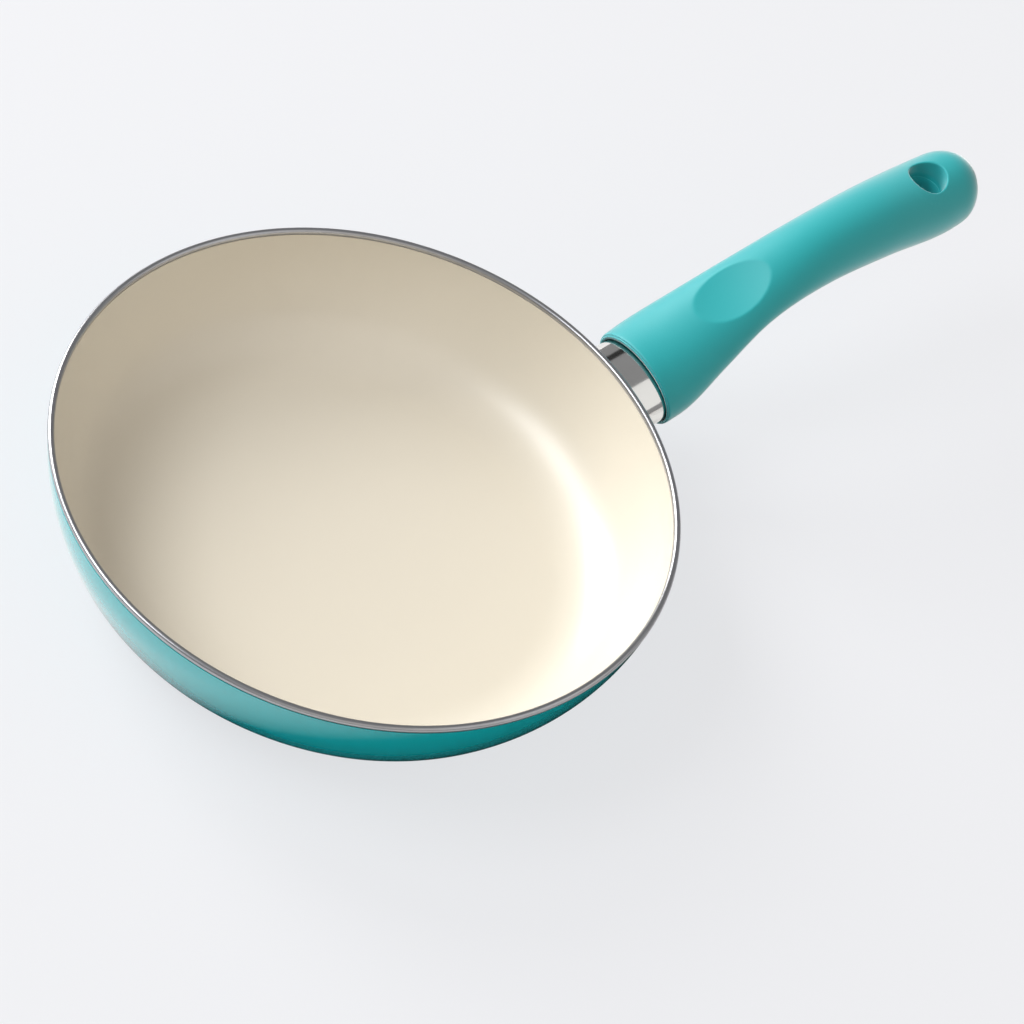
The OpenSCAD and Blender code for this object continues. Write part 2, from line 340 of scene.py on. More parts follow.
class Effects:
    """Shader node groups that several finishes share, each made once."""

    WALL_PITCH = 1.7  # how much denser the turned circles lie up a wall than across a floor
    STREAKS = (0.35, 0.65)
    WORN = (0.52, 0.62)
    SCUFFED = (0.45, 0.7)

    @staticmethod
    def group(name: str, inputs: dict[str, float], outputs: Sequence[str]) -> tuple[Tree, Node, Node]:
        """Makes a group with float sockets.

        Args:
            name: The group's name.
            inputs: Default of each input, by name.
            outputs: Names of the outputs.

        Returns:
            The group's tree, its input node and its output node.
        """
        tree = bpy.data.node_groups.new(name, "ShaderNodeTree")
        for way, labels in (("INPUT", inputs), ("OUTPUT", outputs)):
            for label in labels:
                socket = tree.interface.new_socket(label, in_out=way, socket_type="NodeSocketFloat")
                socket.default_value = inputs.get(label, 0.0)
        return Tree(tree), tree.nodes.new("NodeGroupInput"), tree.nodes.new("NodeGroupOutput")

    @staticmethod
    @cache
    def grain() -> NodeTree:
        """Fine grain with a slow cloud over it.

        Returns:
            The group, which puts out Height for a bump and Cloud for a tint.
        """
        sizes = {"Grain": 2000.0, "Cloud": 25.0}
        tree, entry, leave = Effects.group("surface grain", sizes, ("Height", "Tint"))
        for size, detail, out in (("Grain", 3.0, "Height"), ("Cloud", 4.0, "Tint")):
            noise = tree.add("TexNoise", Vector=tree.place(), Scale=entry.outputs[size],
                             Detail=detail, Roughness=0.6)
            tree.feed(leave.inputs[out], noise.outputs["Fac"])
        return tree.tree

    @staticmethod
    @cache
    def turning() -> NodeTree:
        """Fine circles about the Z axis, as a lathe leaves.

        Returns:
            The group, which puts out Height for a bump and Tint, a mask of streaks.
        """
        tree, entry, leave = Effects.group("turned circles", {"Pitch": 900.0}, ("Height", "Tint"))
        at = tree.add("SeparateXYZ", tree.place()).outputs
        x2, y2 = (tree.maths("MULTIPLY", at[axis], at[axis]) for axis in "XY")
        radius = tree.maths("SQRT", tree.maths("ADD", x2, y2), 0.0)
        along = tree.maths("ADD", radius, tree.maths("MULTIPLY", at["Z"], Effects.WALL_PITCH))
        noise = tree.add("TexNoise", noise_dimensions="1D", W=along, Scale=entry.outputs["Pitch"],
                         Detail=4.0, Roughness=0.7).outputs["Fac"]
        tree.fill(leave, Height=noise, Tint=tree.span(noise, Effects.STREAKS))
        return tree.tree

    @staticmethod
    @cache
    def wear() -> NodeTree:
        """Handling marks and worn edges.

        Returns:
            The group, which puts out Edge, high on convex edges, and Scuff.
        """
        tree, entry, leave = Effects.group("wear", {"Scuff Scale": 60.0}, ("Edge", "Scuff"))
        convex = tree.add("NewGeometry").outputs["Pointiness"]
        noise = tree.add("TexNoise", Vector=tree.place(), Scale=entry.outputs["Scuff Scale"],
                         Detail=6.0, Roughness=0.75).outputs["Fac"]
        tree.fill(leave, Edge=tree.span(convex, Effects.WORN), Scuff=tree.span(noise, Effects.SCUFFED))
        return tree.tree


@dataclass(frozen=True)
class Finish:
    """What all finishes share: two colours and a roughness that vary over the surface."""

    name: str
    colour: Colour
    shade: Colour
    roughness: float
    spread: float = 0.04

    def start(self) -> tuple[Material, Tree, Node]:
        """Makes the material.

        Returns:
            The material, its tree and its shader.
        """
        material = bpy.data.materials.new(self.name)
        material.use_nodes = True
        material.diffuse_color = (*self.colour, 1.0)
        return material, Tree(material.node_tree), material.node_tree.nodes["Principled BSDF"]

    def cover(self, tree: Tree, shader: Node, mask: NodeSocket, height: NodeSocket,
              depth: float) -> NodeSocket:
        """Varies colour and roughness by a mask, and adds relief.

        Args:
            tree: The material's tree.
            shader: The material's shader.
            mask: 0 to 1 over the surface.
            height: The relief, 0 to 1 over the surface.
            depth: What 1 of the relief stands for, in millimetres.

        Returns:
            The colour over the surface.
        """
        colour = tree.blend(mask, self.colour, self.shade)
        rough = tree.span(mask, (0.0, 1.0), (self.roughness, self.roughness + self.spread))
        bump = tree.add("Bump", Strength=1.0, Distance=depth * MM, Height=height)
        tree.fill(shader, Base_Color=colour, Roughness=rough, Normal=bump.outputs["Normal"])
        return colour


@dataclass(frozen=True)
class Ceramic(Finish):
    """Fired coat with a clear gloss and a faint orange peel."""

    coat: float = 0.5
    coat_roughness: float = 0.08
    peel: float = 0.02
    peel_scale: float = 260.0
    cloud_scale: float = 14.0

    def build(self) -> Material:
        """Makes the finish.

        Returns:
            The material.
        """
        material, tree, shader = self.start()
        grain = tree.add("Group", node_tree=Effects.grain(), Grain=self.peel_scale,
                         Cloud=self.cloud_scale).outputs
        self.cover(tree, shader, grain["Tint"], grain["Height"], self.peel)
        tree.fill(shader, Coat_Weight=self.coat, Coat_Roughness=self.coat_roughness)
        return material


@dataclass(frozen=True)
class Metal(Finish):
    """Bare metal with scuffs, and with turned circles where turned gives their depth, else grain."""

    turned: float = 0.0
    grain: float = 0.004
    grain_scale: float = 900.0
    cloud_scale: float = 40.0
    scuff_scale: float = 90.0

    def build(self) -> Material:
        """Makes the finish.

        Returns:
            The material.
        """
        material, tree, shader = self.start()
        wear = tree.add("Group", node_tree=Effects.wear(), Scuff_Scale=self.scuff_scale)
        if self.turned:
            marks = tree.add("Group", node_tree=Effects.turning(), Pitch=self.grain_scale).outputs
        else:
            marks = tree.add("Group", node_tree=Effects.grain(), Grain=self.grain_scale,
                             Cloud=self.cloud_scale).outputs
        both = tree.maths("ADD", marks["Tint"], wear.outputs["Scuff"])
        mask = tree.maths("MULTIPLY", both, 0.5)
        self.cover(tree, shader, mask, marks["Height"], self.turned or self.grain)
        tree.fill(shader, Metallic=1.0)
        return material


@dataclass(frozen=True)
class Moulded(Finish):
    """Moulded plastic or soft skin with a matte grain and lightly rubbed edges."""

    grain: float = 0.015
    grain_scale: float = 1400.0
    cloud_scale: float = 35.0
    scuff_scale: float = 45.0
    sheen: float = 0.0
    sheen_roughness: float = 0.4
    gloss: float = 0.4
    rubbed: Colour = (0.3, 0.6, 0.6)
    rub: float = 0.35

    def build(self) -> Material:
        """Makes the finish.

        Returns:
            The material.
        """
        material, tree, shader = self.start()
        grain = tree.add("Group", node_tree=Effects.grain(), Grain=self.grain_scale,
                         Cloud=self.cloud_scale).outputs
        wear = tree.add("Group", node_tree=Effects.wear(), Scuff_Scale=self.scuff_scale)
        base = self.cover(tree, shader, grain["Tint"], grain["Height"], self.grain)
        rub = tree.maths("MULTIPLY", wear.outputs["Edge"], self.rub)
        tree.fill(shader, Base_Color=tree.blend(rub, base, self.rubbed), Sheen_Weight=self.sheen,
                  Sheen_Roughness=self.sheen_roughness, Specular_IOR_Level=self.gloss)
        return material


@dataclass(frozen=True)
class Wardrobe:
    """The finishes of this pan."""

    ceramic: Ceramic = Ceramic(
        "cream ceramic", (0.755, 0.705, 0.598), (0.735, 0.685, 0.578), 0.40,
        coat=0.9, coat_roughness=0.32)
    coat: Ceramic = Ceramic(
        "teal coat", (0.003, 0.44, 0.475), (0.002, 0.42, 0.455), 0.14,
        coat=0.9, coat_roughness=0.05, peel=0.003, peel_scale=180.0)
    aluminium: Metal = Metal(
        "bare aluminium", (0.46, 0.46, 0.47), (0.38, 0.38, 0.39), 0.28, turned=0.01)
    polished: Metal = Metal("polished steel", (0.80, 0.79, 0.76), (0.74, 0.73, 0.70), 0.09, 0.05)
    bracket: Metal = Metal(
        "bracket steel", (0.50, 0.50, 0.50), (0.38, 0.37, 0.36), 0.38, 0.12, grain=0.02)
    plated: Metal = Metal(
        "plated steel", (0.62, 0.63, 0.62), (0.48, 0.49, 0.50), 0.25, 0.12, grain=0.01)
    spring: Metal = Metal(
        "spring steel", (0.16, 0.16, 0.17), (0.10, 0.10, 0.11), 0.35, 0.15, grain=0.01)
    core: Moulded = Moulded("heatproof plastic", (0.01, 0.22, 0.24), (0.008, 0.19, 0.21), 0.55)
    grip: Moulded = Moulded(
        "soft teal", (0.003, 0.37, 0.395), (0.002, 0.355, 0.38), 0.5,
        sheen=1.0, gloss=0.55, rubbed=(0.05, 0.50, 0.51))


@dataclass
class Bowl:
    """The bowl's wall outline and the three pieces turned from it.

    The wall is two arcs, the sweep from the edge down and the corner on to the floor. A lean is the
    wall's angle from upright in degrees: flare at the edge, turn where the arcs meet, 90 on the floor.
    """

    rim_r: float = 120.0
    height: float = 50.0
    bead_r: float = 1.3
    wall: float = 1.9
    floor: float = 3.0
    flare: float = 5.0
    turn: float = 31.0
    sweep_r: float = 76.0
    coat: float = 0.25
    coat_drop: float = 1.2
    coat_end: float = 80.0
    grooves: int = 6
    groove_w: float = 1.6
    groove_d: float = 0.3
    groove_slope: float = 0.15
    groove_pitch: float = 11.0
    around: int = 256
    sweep_steps: int = 20
    corner_steps: int = 26
    bead_steps: int = 36
    cutter_rise: float = 10.0

    @property
    def bead(self) -> Point:
        """Centre of the rounded edge."""
        return self.rim_r - self.bead_r, self.height - self.bead_r

    @property
    def corner_r(self) -> float:
        """Radius of the corner between wall and floor.

        Returns:
            The radius that brings the wall down to z = 0.
        """
        turn, flare = math.radians(self.turn), math.radians(self.flare)
        drop = self.bead[1] - self.sweep_r * (math.sin(turn) - math.sin(flare))
        return drop / (1 - math.sin(turn))

    @property
    def coat_top(self) -> float:
        """Lean of the wall where the coats stop under the edge."""
        rise = math.sin(math.radians(self.flare)) + self.coat_drop / self.sweep_r
        return math.degrees(math.asin(rise))

    def metal(self, lean: float) -> float:
        """Thickness of the metal at a lean of the wall."""
        share = max(0.0, lean - self.turn) / (90 - self.turn)
        return self.wall + (self.floor - self.wall) * share * share * (3 - 2 * share)

    def at(self, lean: float, depth: float) -> Point:
        """A point of the wall.

        Args:
            lean: The wall's lean there.
            depth: Distance inwards from the metal's outer face.

        Returns:
            Its radius and height.
        """
        lean_r, turn, flare = (math.radians(a) for a in (lean, self.turn, self.flare))
        low, high = min(lean_r, turn), max(lean_r, turn)
        x = (self.bead[0] + self.wall / 2 - self.sweep_r * (math.cos(flare) - math.cos(low))
             - self.corner_r * (math.cos(turn) - math.cos(high)))
        z = (self.bead[1] - self.sweep_r * (math.sin(low) - math.sin(flare))
             - self.corner_r * (math.sin(high) - math.sin(turn)))
        return x - depth * math.cos(lean_r), z + depth * math.sin(lean_r)

    def face(self, start: float, stop: float, depth: float, inside: bool = False) -> list[Point]:
        """Points down the outer or inner face between two leans, at a depth inwards from it."""
        leans = (steps(start, self.turn, self.sweep_steps)
                 + steps(self.turn, stop, self.corner_steps)[1:])
        return [self.at(a, depth + (self.metal(a) if inside else 0.0)) for a in leans]

    def bead_arc(self) -> list[Point]:
        """Rounds the edge.

        Returns:
            Points from the inner face over the top to the outer face.
        """
        open_half = math.degrees(math.asin(self.wall / 2 / self.bead_r))
        down = -90 - self.flare
        return [(self.bead[0] + self.bead_r * math.cos(math.radians(a)),
                 self.bead[1] + self.bead_r * math.sin(math.radians(a)))
                for a in steps(down + 360 - open_half, down + open_half, self.bead_steps)]

    def outlines(self) -> tuple[list[Point], ...]:
        """Outlines the three pieces.

        Returns:
            The outlines of the pressed metal with its rounded edge and the grooves in its bottom, of
            the cream lining and of the teal outer coat.
        """
        bottom = [(0.0, 0.0)]
        slope, depth, width = self.groove_slope, self.groove_d, self.groove_w
        for x in (i * self.groove_pitch for i in range(1, self.grooves + 1)):
            bottom += [(x, 0.0), (x + slope, depth), (x + width - slope, depth), (x + width, 0.0)]
        outer = self.face(self.flare, 90.0, 0.0)
        inner = self.face(self.flare, 90.0, 0.0, inside=True)
        metal = inner[::-1][:-1] + self.bead_arc() + outer[1:] + bottom[::-1]
        skin = self.face(self.coat_top, 90.0, self.coat, inside=True)
        back = self.face(self.coat_top, 90.0, 0.0, inside=True)
        middle = (0.0, self.floor)
        lining = [(0.0, self.floor + self.coat)] + skin[::-1] + back + [middle]
        back = self.face(self.coat_top, self.coat_end, 0.0)
        skin = self.face(self.coat_top, self.coat_end, -self.coat)
        return [middle] + metal, lining, back + skin[::-1] + back[:1]

    def cutter(self, grow: float) -> Object:
        """Turns a solid of all that lies inside the bowl's outer face.

        Args:
            grow: How far it reaches outside that face.

        Returns:
            The solid.
        """
        outer = self.face(self.flare, 90.0, -grow)
        top = self.height + self.cutter_rise
        outline = [(0.0, top), (outer[0][0], top)] + outer + [(0.0, -grow)]
        return Bench.lathe("wall_cutter", outline, self.around)

    def dress(self, finishes: Wardrobe) -> None:
        """Makes the three pieces and gives them their finishes.

        Args:
            finishes: The pan's finishes.
        """
        for outline, (name, crisp, node, finish, slot) in zip(self.outlines(), (
                ("bowl_metal", 32, "pan_body", finishes.aluminium, Slot.ALUMINIUM),
                ("bowl_lining", 40, "interior_coating", finishes.ceramic, Slot.CERAMIC),
                ("bowl_coat", 40, "exterior_enamel", finishes.coat, Slot.COAT))):
            piece = Bench.lathe(name, outline, self.around)
            Bench.smooth(piece, crisp)
            hand_over(piece, finish.build(), node)


@dataclass(frozen=True)
class Opening:
    """A round opening in the grip's skin, with its axis along z at y = 0.

    Rings lie on the skin from the outside in, a lip rolls inwards from the last of them, and the
    bore's rings, each a radius and a height, follow the lip. The skin is taken away to a margin past
    the first ring and a reach below the collar, and the seam spans both edges that are then joined.
    """

    x: float
    side: Side
    rings: tuple[float, ...]
    lip: float
    bore: tuple[Point, ...]
    around: int = 96
    start_z: float = 150.0
    roll: tuple[float, ...] = (15, 30, 45, 60, 75, 90)
    reach: float = 8.0
    margin: float = 1.2
    seam: Point = (-0.1, 6.0)

    def off_axis(self, co: Vector) -> float:
        """Distance of a place from the opening's axis."""
        return math.hypot(co.x - self.x, co.y)

    def extrude(self, before: float, after: float) -> None:
        """Extrudes the selected ring and scales it from one radius to the next."""
        bpy.ops.mesh.extrude_edges_move()
        bpy.ops.transform.resize(value=(after / before, after / before, 1),
                                 center_override=(self.x * MM, 0, 0))

    def collar(self, grip: Object) -> Object:
        """Makes the rings on the skin, the lip and the bore.

        Args:
            grip: The grip, which the rings follow.

        Returns:
            The collar, not yet joined to the grip.
        """
        up = self.side.value
        collar = Bench.circle("collar", self.around, self.rings[0] * MM,
                              location=(self.x * MM, 0, up * self.start_z * MM))
        lip = [math.radians(a) for a in self.roll]
        flat = [*self.rings, *(self.rings[-1] - self.lip * math.sin(a) for a in lip)]
        with Bench.editing(everything=True):
            for before, after in zip(flat, flat[1:]):
                self.extrude(before, after)
        Bench.apply(collar, "SHRINKWRAP", target=grip, wrap_method="PROJECT", use_project_z=True,
                    use_negative_direction=up > 0, use_positive_direction=up < 0)
        with Bench.editing():
            for angle, radius in zip(lip, flat[len(self.rings):]):
                Bench.select(collar, lambda co: abs(self.off_axis(co) - radius) < NEAR)
                drop = self.lip * (1 - math.cos(angle))
                bpy.ops.transform.translate(value=(0, 0, -up * drop * MM))
            for after, z in self.bore:
                self.extrude(radius, after)
                bpy.ops.transform.resize(value=(1, 1, 0), center_override=(self.x * MM, 0, z * MM))
                radius = after
        return collar

    def cut(self, grip: Object) -> None:
        """Opens the grip's skin and joins the collar to it.

        Args:
            grip: The grip.
        """
        collar = self.collar(grip)
        up, edge = self.side.value, self.rings[0]
        mean = sum(v.co.z for v in collar.data.vertices) / len(collar.data.vertices) / MM
        level = mean - up * self.reach

        def within(co: Vector, low: float, high: float) -> bool:
            """Whether a place lies between two radii on the side that is opened."""
            return low <= self.off_axis(co) < high and (co.z - level) * up > 0

        Bench.pick(grip)
        with Bench.editing():
            Bench.select(grip, lambda co: within(co, 0.0, edge + self.margin))
            bpy.ops.mesh.delete(type="VERT")
        Bench.pick(grip)
        collar.select_set(True)
        bpy.ops.object.join()
        self.close(grip, lambda co: within(co, edge + self.seam[0], edge + self.seam[1]))

    @staticmethod
    def close(grip: Object, keep: Callable[[Vector], bool], cap: bool = False) -> None:
        """Closes open edges of the grip.

        Args:
            grip: The grip.
            keep: Says of an edge's middle in millimetres whether the edge is closed.
            cap: Whether they get one face, and not a band between two rows of them.
        """
        Bench.pick(grip)
        with Bench.editing():
            Bench.select(grip, keep, rim=True)
            if cap:
                bpy.ops.mesh.edge_face_add()
            else:
                bpy.ops.mesh.bridge_edge_loops()


@dataclass
class Handle:
    """The handle's form, in its own frame: x along its axis from the mouth, z up from the axis."""

    mouth_x: float = 141.5
    mouth_z: float = 26.0
    tilt: float = 10.5
    length: float = 175.5
    # The section's top, bottom and half width, each at the distances drawn_at from the mouth.
    drawn_at: tuple[float, ...] = (0, 12, 30, 55, 85, 120, 150, 175)
    crown: tuple[float, ...] = (17.3, 18.6, 22.6, 29, 33.9, 33, 28.2, 26.4)
    belly: tuple[float, ...] = (-16.2, -12.6, -2, 8.9, 8.8, 3.2, -3.7, -4.7)
    half_w: tuple[float, ...] = (22, 22.3, 19.7, 16.3, 15.1, 15.9, 16.7, 14.6)
    tip_len: float = 14.5
    tip_round: float = 2.8
    tip_over: float = 0.03
    bore_w: float = 20.4
    bore_h: float = 14.4
    lip_r: float = 1.4
    # Angles around the lip, and the depth of the seam line pressed into it there.
    lip_bends: tuple[Point, ...] = ((8, 0), (17, 0), (24, 0.12), (30, 0.3), (38, 0.3), (44, 0.12),
                                    (51, 0), (60, 0), (70, 0), (80, 0), (90, 0))
    # Where the grip's rings lie: inside the mouth, behind the lip, along the body, around the tip.
    mouth_at: tuple[float, ...] = (4.05, 3.8, 2.2, 0.8, 0.3)
    throat_at: tuple[float, ...] = (1.9, 2.8, 4.5, 8, 12, 17)
    body_at: float = 20.0
    body_steps: int = 48
    tip_angles: tuple[float, ...] = (10, 20, 30, 40, 50, 60, 69, 77, 84)
    columns: int = 32
    thumb_at: float = 47.0
    thumb_len: float = 17.0
    thumb_d: float = 2.7
    thumb_dish: float = 0.4
    thumb_half_w: float = 10.5
    thumb_soft: float = 0.3
    thumb_fine: float = 1.3
    thumb_reach: float = 1.4
    thumb_rise: float = 6.0
    pocket_at: float = 14.0
    pocket_r: float = 5.55
    pocket_rings: tuple[float, ...] = (1.8, 1.1, 0.5)
    seat_z: float = -4.52
    seat_near: float = 0.05
    hang_r: float = 7.6
    hang_step: float = 0.4
    hang_depth: float = 9.0
    hang_inset: float = 26.0
    hang_lip: float = 0.8
    hang_rings: tuple[float, ...] = (2.0, 1.0, 0.3, 0.0)
    ledge_ring: float = 2.5
    ledge_cut: Point = (0.1, 0.12)
    waist_drop: float = 8.0
    waist_gap: float = 4.0
    ferrule_w: float = 20.0
    ferrule_h: float = 14.0
    ferrule_t: float = 0.8
    ferrule_in: float = 4.0
    ferrule_runs: tuple[float, ...] = (6, 54)
    ferrule_around: int = 128
    ferrule_edge: float = 0.15
    ferrule_gap: float = 0.2

    @property
    def stations(self) -> tuple[float, ...]:
        """Where the sizes of the section are given, as distances from the mouth."""
        return tuple(s * self.length / self.drawn_at[-1] for s in self.drawn_at)

    @property
    def frame(self) -> Matrix:
        """Where the handle's own frame lies, in metres."""
        turn = Matrix.Rotation(-math.radians(self.tilt), 4, "Y")
        return Matrix.Translation(Vector((self.mouth_x, 0, self.mouth_z)) * MM) @ turn

    def curve(self, values: Sequence[float], s: float) -> float:
        """A size of the section along the handle.

        Args:
            values: The size at each station.
            s: Distance from the mouth.

        Returns:
            The size there, on a smooth curve through the stations.
        """
        at, last = self.stations, len(self.stations) - 1
        i = max(k for k in range(last) if k == 0 or s >= at[k])
        span = at[i + 1] - at[i]
        t = (s - at[i]) / span

        def slope(k: int) -> float:
            """Slope of the curve at a station."""
            a, b = max(k - 1, 0), min(k + 1, last)
            return (values[b] - values[a]) / (at[b] - at[a])

        return (values[i] * (2 * t**3 - 3 * t**2 + 1) + span * slope(i) * (t**3 - 2 * t**2 + t)
                + values[i + 1] * (3 * t**2 - 2 * t**3) + span * slope(i + 1) * (t**3 - t**2))

    def section(self, s: float, inset: float = 0.0) -> Triple:
        """The oval section at a distance from the mouth.

        Args:
            s: Distance from the mouth.
            inset: How much smaller it is than the skin.

        Returns:
            Half width, half height and the height of its middle.
        """
        top, low = self.curve(self.crown, s) - inset, self.curve(self.belly, s) + inset
        u = min(1.0, max(0.0, (s - self.length + self.tip_len) / self.tip_len))
        width = (self.curve(self.half_w, s) - inset) * math.sqrt(1 - u**2)
        return width, (top - low) / 2 * math.sqrt(1 - u**self.tip_round), (top + low) / 2

    def rings(self) -> list[tuple[float, float, float, float]]:
        """The grip's sections from inside the mouth, around the lip and on to the tip.

        Returns:
            For each, its distance from the mouth, half width, half height and middle height.
        """
        found = [(s, self.bore_w, self.bore_h, 0.0) for s in self.mouth_at]
        for angle, seam in self.lip_bends:
            r, turn = self.lip_r - seam, math.radians(angle)
            s = self.lip_r - r * math.cos(turn)
            found.append((s, *self.section(s, self.lip_r - r * math.sin(turn))))
        body_end = self.length - self.tip_len
        further = (*self.throat_at, *steps(self.body_at, body_end, self.body_steps),
                   *(body_end + self.tip_len * math.sin(math.radians(a)) for a in self.tip_angles))
        return found + [(s, *self.section(s)) for s in further]

    def skin(self) -> Object:
        """Draws the grip out of a disc, ring by ring, and rounds it.

        Returns:
            The grip without its holes, in the handle's frame.
        """
        piece = Bench.circle("grip", self.columns, MM, "NGON", rotation=(0, math.pi / 2, 0))
        rings = self.rings()
        # Rounding pulls a ring of this many columns in by this share.
        fuller = 3 / (2 + math.cos(math.tau / self.columns))
        s0, w0, h0, z0 = rings[0]
        with Bench.editing(everything=True):
            bpy.ops.transform.resize(value=(1, w0 * fuller, h0 * fuller))
            bpy.ops.transform.translate(value=(s0 * MM, 0, z0 * MM))
            for s1, w1, h1, z1 in rings[1:]:
                bpy.ops.mesh.extrude_region_move(
                    TRANSFORM_OT_translate={"value": ((s1 - s0) * MM, 0, (z1 - z0) * MM)})
                bpy.ops.transform.resize(value=(1, w1 / w0, h1 / h0),
                                         center_override=(s1 * MM, 0, z1 * MM))
                s0, w0, h0, z0 = s1, w1, h1, z1
            end = (self.length + self.tip_over - s0) * MM
            bpy.ops.mesh.extrude_region_move(TRANSFORM_OT_translate={"value": (end, 0, 0)})
            bpy.ops.mesh.merge(type="CENTER")
            Bench.face_out()
        Bench.apply(piece, "SUBSURF", levels=2, render_levels=2)
        return piece

    def press_thumb_rest(self, piece: Object) -> None:
        """Presses the shallow thumb rest into the crown, with a softly rounded edge.

        Args:
            piece: The grip, in the handle's frame.
        """
        at, half, soft = self.thumb_at, self.thumb_len, self.thumb_soft
        Bench.pick(piece)
        with Bench.editing():
            Bench.select(piece, lambda co: abs(co.x - at) < self.thumb_fine * half
                         and co.z > self.section(co.x)[2] + self.thumb_rise)
            bpy.ops.mesh.subdivide(number_cuts=1)
        here, after, before = (self.curve(self.crown, at + d) for d in (0, half, -half))
        floor, ends = here - self.thumb_d, (after + before) / 2
        slope = (self.curve(self.crown, at + 1) - self.curve(self.crown, at - 1)) / 2
        for vertex in piece.data.vertices:
            s, y, z = vertex.co / MM
            if abs(s - at) < self.thumb_reach * half and z > self.section(s)[2]:
                rest = floor + (ends - floor) * ((s - at) / half)**2 + slope * (s - at)
                rest += self.thumb_dish * (y / self.thumb_half_w)**2
                mixed = max(soft - abs(z - rest), 0.0) / soft
                vertex.co.z = (min(z, rest) - mixed * mixed * soft / 4) * MM

    def open_pocket(self, piece: Object) -> None:
        """Opens the screw's pocket, down to its seat.

        Args:
            piece: The grip, in the handle's frame.
        """
        rings = tuple(self.pocket_r + more for more in self.pocket_rings)
        Opening(self.pocket_at, Side.BOTTOM, rings, self.pocket_rings[-1],
                ((self.pocket_r, self.seat_z),)).cut(piece)
        Opening.close(piece, lambda co: abs(co.z - self.seat_z) < self.seat_near, cap=True)

    def open_hanging_hole(self, piece: Object) -> None:
        """Opens the hanging hole, which is wider above its ledge.

        Args:
            piece: The grip, in the row's frame.
        """
        s, tilt = self.length - self.hang_inset, math.radians(self.tilt)
        x = self.mouth_x + s * math.cos(tilt) - self.curve(self.crown, s) * math.sin(tilt)
        top = self.mouth_z + s * math.sin(tilt) + self.curve(self.crown, s) * math.cos(tilt)
        ledge = top - self.hang_depth
        waist = ledge - self.waist_drop
        lip, narrow, wide = self.hang_lip, self.hang_r, self.hang_r + self.hang_step
        across, along = self.ledge_cut
        rings = self.hang_rings
        Opening(x, Side.TOP, tuple(wide + lip + more for more in rings), lip,
                ((wide, ledge + self.ledge_ring), (wide, ledge + along), (wide - across, ledge),
                 (narrow + across, ledge), (narrow, ledge - along), (narrow, waist))).cut(piece)
        Opening(x, Side.BOTTOM, tuple(narrow + lip + more for more in (*rings[:2], rings[-1])), lip,
                ((narrow, waist - self.waist_gap),)).cut(piece)
        Opening.close(piece, lambda co: True)
        with Bench.editing():
            Bench.face_out()

    def grip_piece(self) -> Object:
        """Models the soft grip: skin, lip, thumb rest, screw pocket and stepped hanging hole.

        Returns:
            The grip, in the row's frame.
        """
        piece = self.skin()
        self.press_thumb_rest(piece)
        self.open_pocket(piece)
        Bench.place(piece, self.frame)
        self.open_hanging_hole(piece)
        Bench.smooth(piece, degrees=50)
        return piece

    def ferrule_piece(self, bowl: Bowl) -> Object:
        """Models the oval ferrule and trims it to the wall.

        Args:
            bowl: The bowl that it meets.

        Returns:
            The ferrule, in the row's frame.
        """
        piece = Bench.circle("ferrule_sleeve", self.ferrule_around, MM,
                             rotation=(0, math.pi / 2, 0))
        with Bench.editing(everything=True):
            bpy.ops.transform.resize(value=(1, self.ferrule_w, self.ferrule_h))
            bpy.ops.transform.translate(value=(self.ferrule_in * MM, 0, 0))
            for run in self.ferrule_runs:
                bpy.ops.mesh.extrude_edges_move(TRANSFORM_OT_translate={"value": (-run * MM, 0, 0)})
            Bench.face_out()
        Bench.apply(piece, "SOLIDIFY", thickness=self.ferrule_t * MM, offset=-1.0)
        Bench.apply(piece, "BEVEL", width=self.ferrule_edge * MM, segments=3, limit_method="ANGLE",
                    angle_limit=1.0)
        Bench.place(piece, self.frame)
        cutter = bowl.cutter(bowl.coat + self.ferrule_gap)
        Bench.apply(piece, "BOOLEAN", operation="DIFFERENCE", solver="EXACT", object=cutter)
        bpy.data.objects.remove(cutter)
        Bench.smooth(piece, degrees=30)
        return piece

    def dress(self, finishes: Wardrobe, bowl: Bowl) -> tuple[Object, Object]:
        """Makes the grip and the ferrule and gives them their finishes.

        Args:
            finishes: The pan's finishes.
            bowl: The bowl that the ferrule meets.

        Returns:
            The ferrule and the grip.
        """
        grip = self.grip_piece()
        hand_over(grip, finishes.grip.build(), "soft_grip")
        ferrule = self.ferrule_piece(bowl)
        hand_over(ferrule, finishes.polished.build(), "ferrule")
        return ferrule, grip


@dataclass
class Fixings:
    """The hidden pieces that keep their CAD meshes."""

    nodes: dict[str, Object]

    def dress(self, finishes: Wardrobe) -> None:
        """Gives each kept node its finish.

        Args:
            finishes: The pan's finishes.
        """
        plated = finishes.plated.build()
        for name, material in (
                ("handle_bracket", finishes.bracket.build()), ("handle_core", finishes.core.build()),
                ("spring_washer", finishes.spring.build()), ("clinch_nut", plated),
                ("handle_screw", plated), ("flat_washer", plated)):
            node = self.nodes[name]
            node.data.materials.clear()
            node.data.materials.append(material)
            LOG.info("%s keeps its CAD mesh, finish %s", name, material.name)


def hand_over(piece: Object, material: Material, node: str) -> None:
    """Gives a piece its finish and puts it on the pan in place of its CAD node.

    Args:
        piece: The finished piece.
        material: Its material.
        node: The CAD node that it stands for.
    """
    piece.data.materials.clear()
    piece.data.materials.append(material)
    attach(piece, BODY)
    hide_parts(node)
    LOG.info("%s stands for %s, %d faces", piece.name, node, len(piece.data.polygons))


def furnish(piece: Object, name: str) -> Tree:
    """Adds a piece to the studio and gives it an empty material.

    Args:
        piece: The piece.
        name: Its material's name.

    Returns:
        The material's tree.
    """
    material = bpy.data.materials.new(name)
    material.use_nodes = True
    material.node_tree.nodes.clear()
    piece.data.materials.append(material)
    return Tree(material.node_tree)


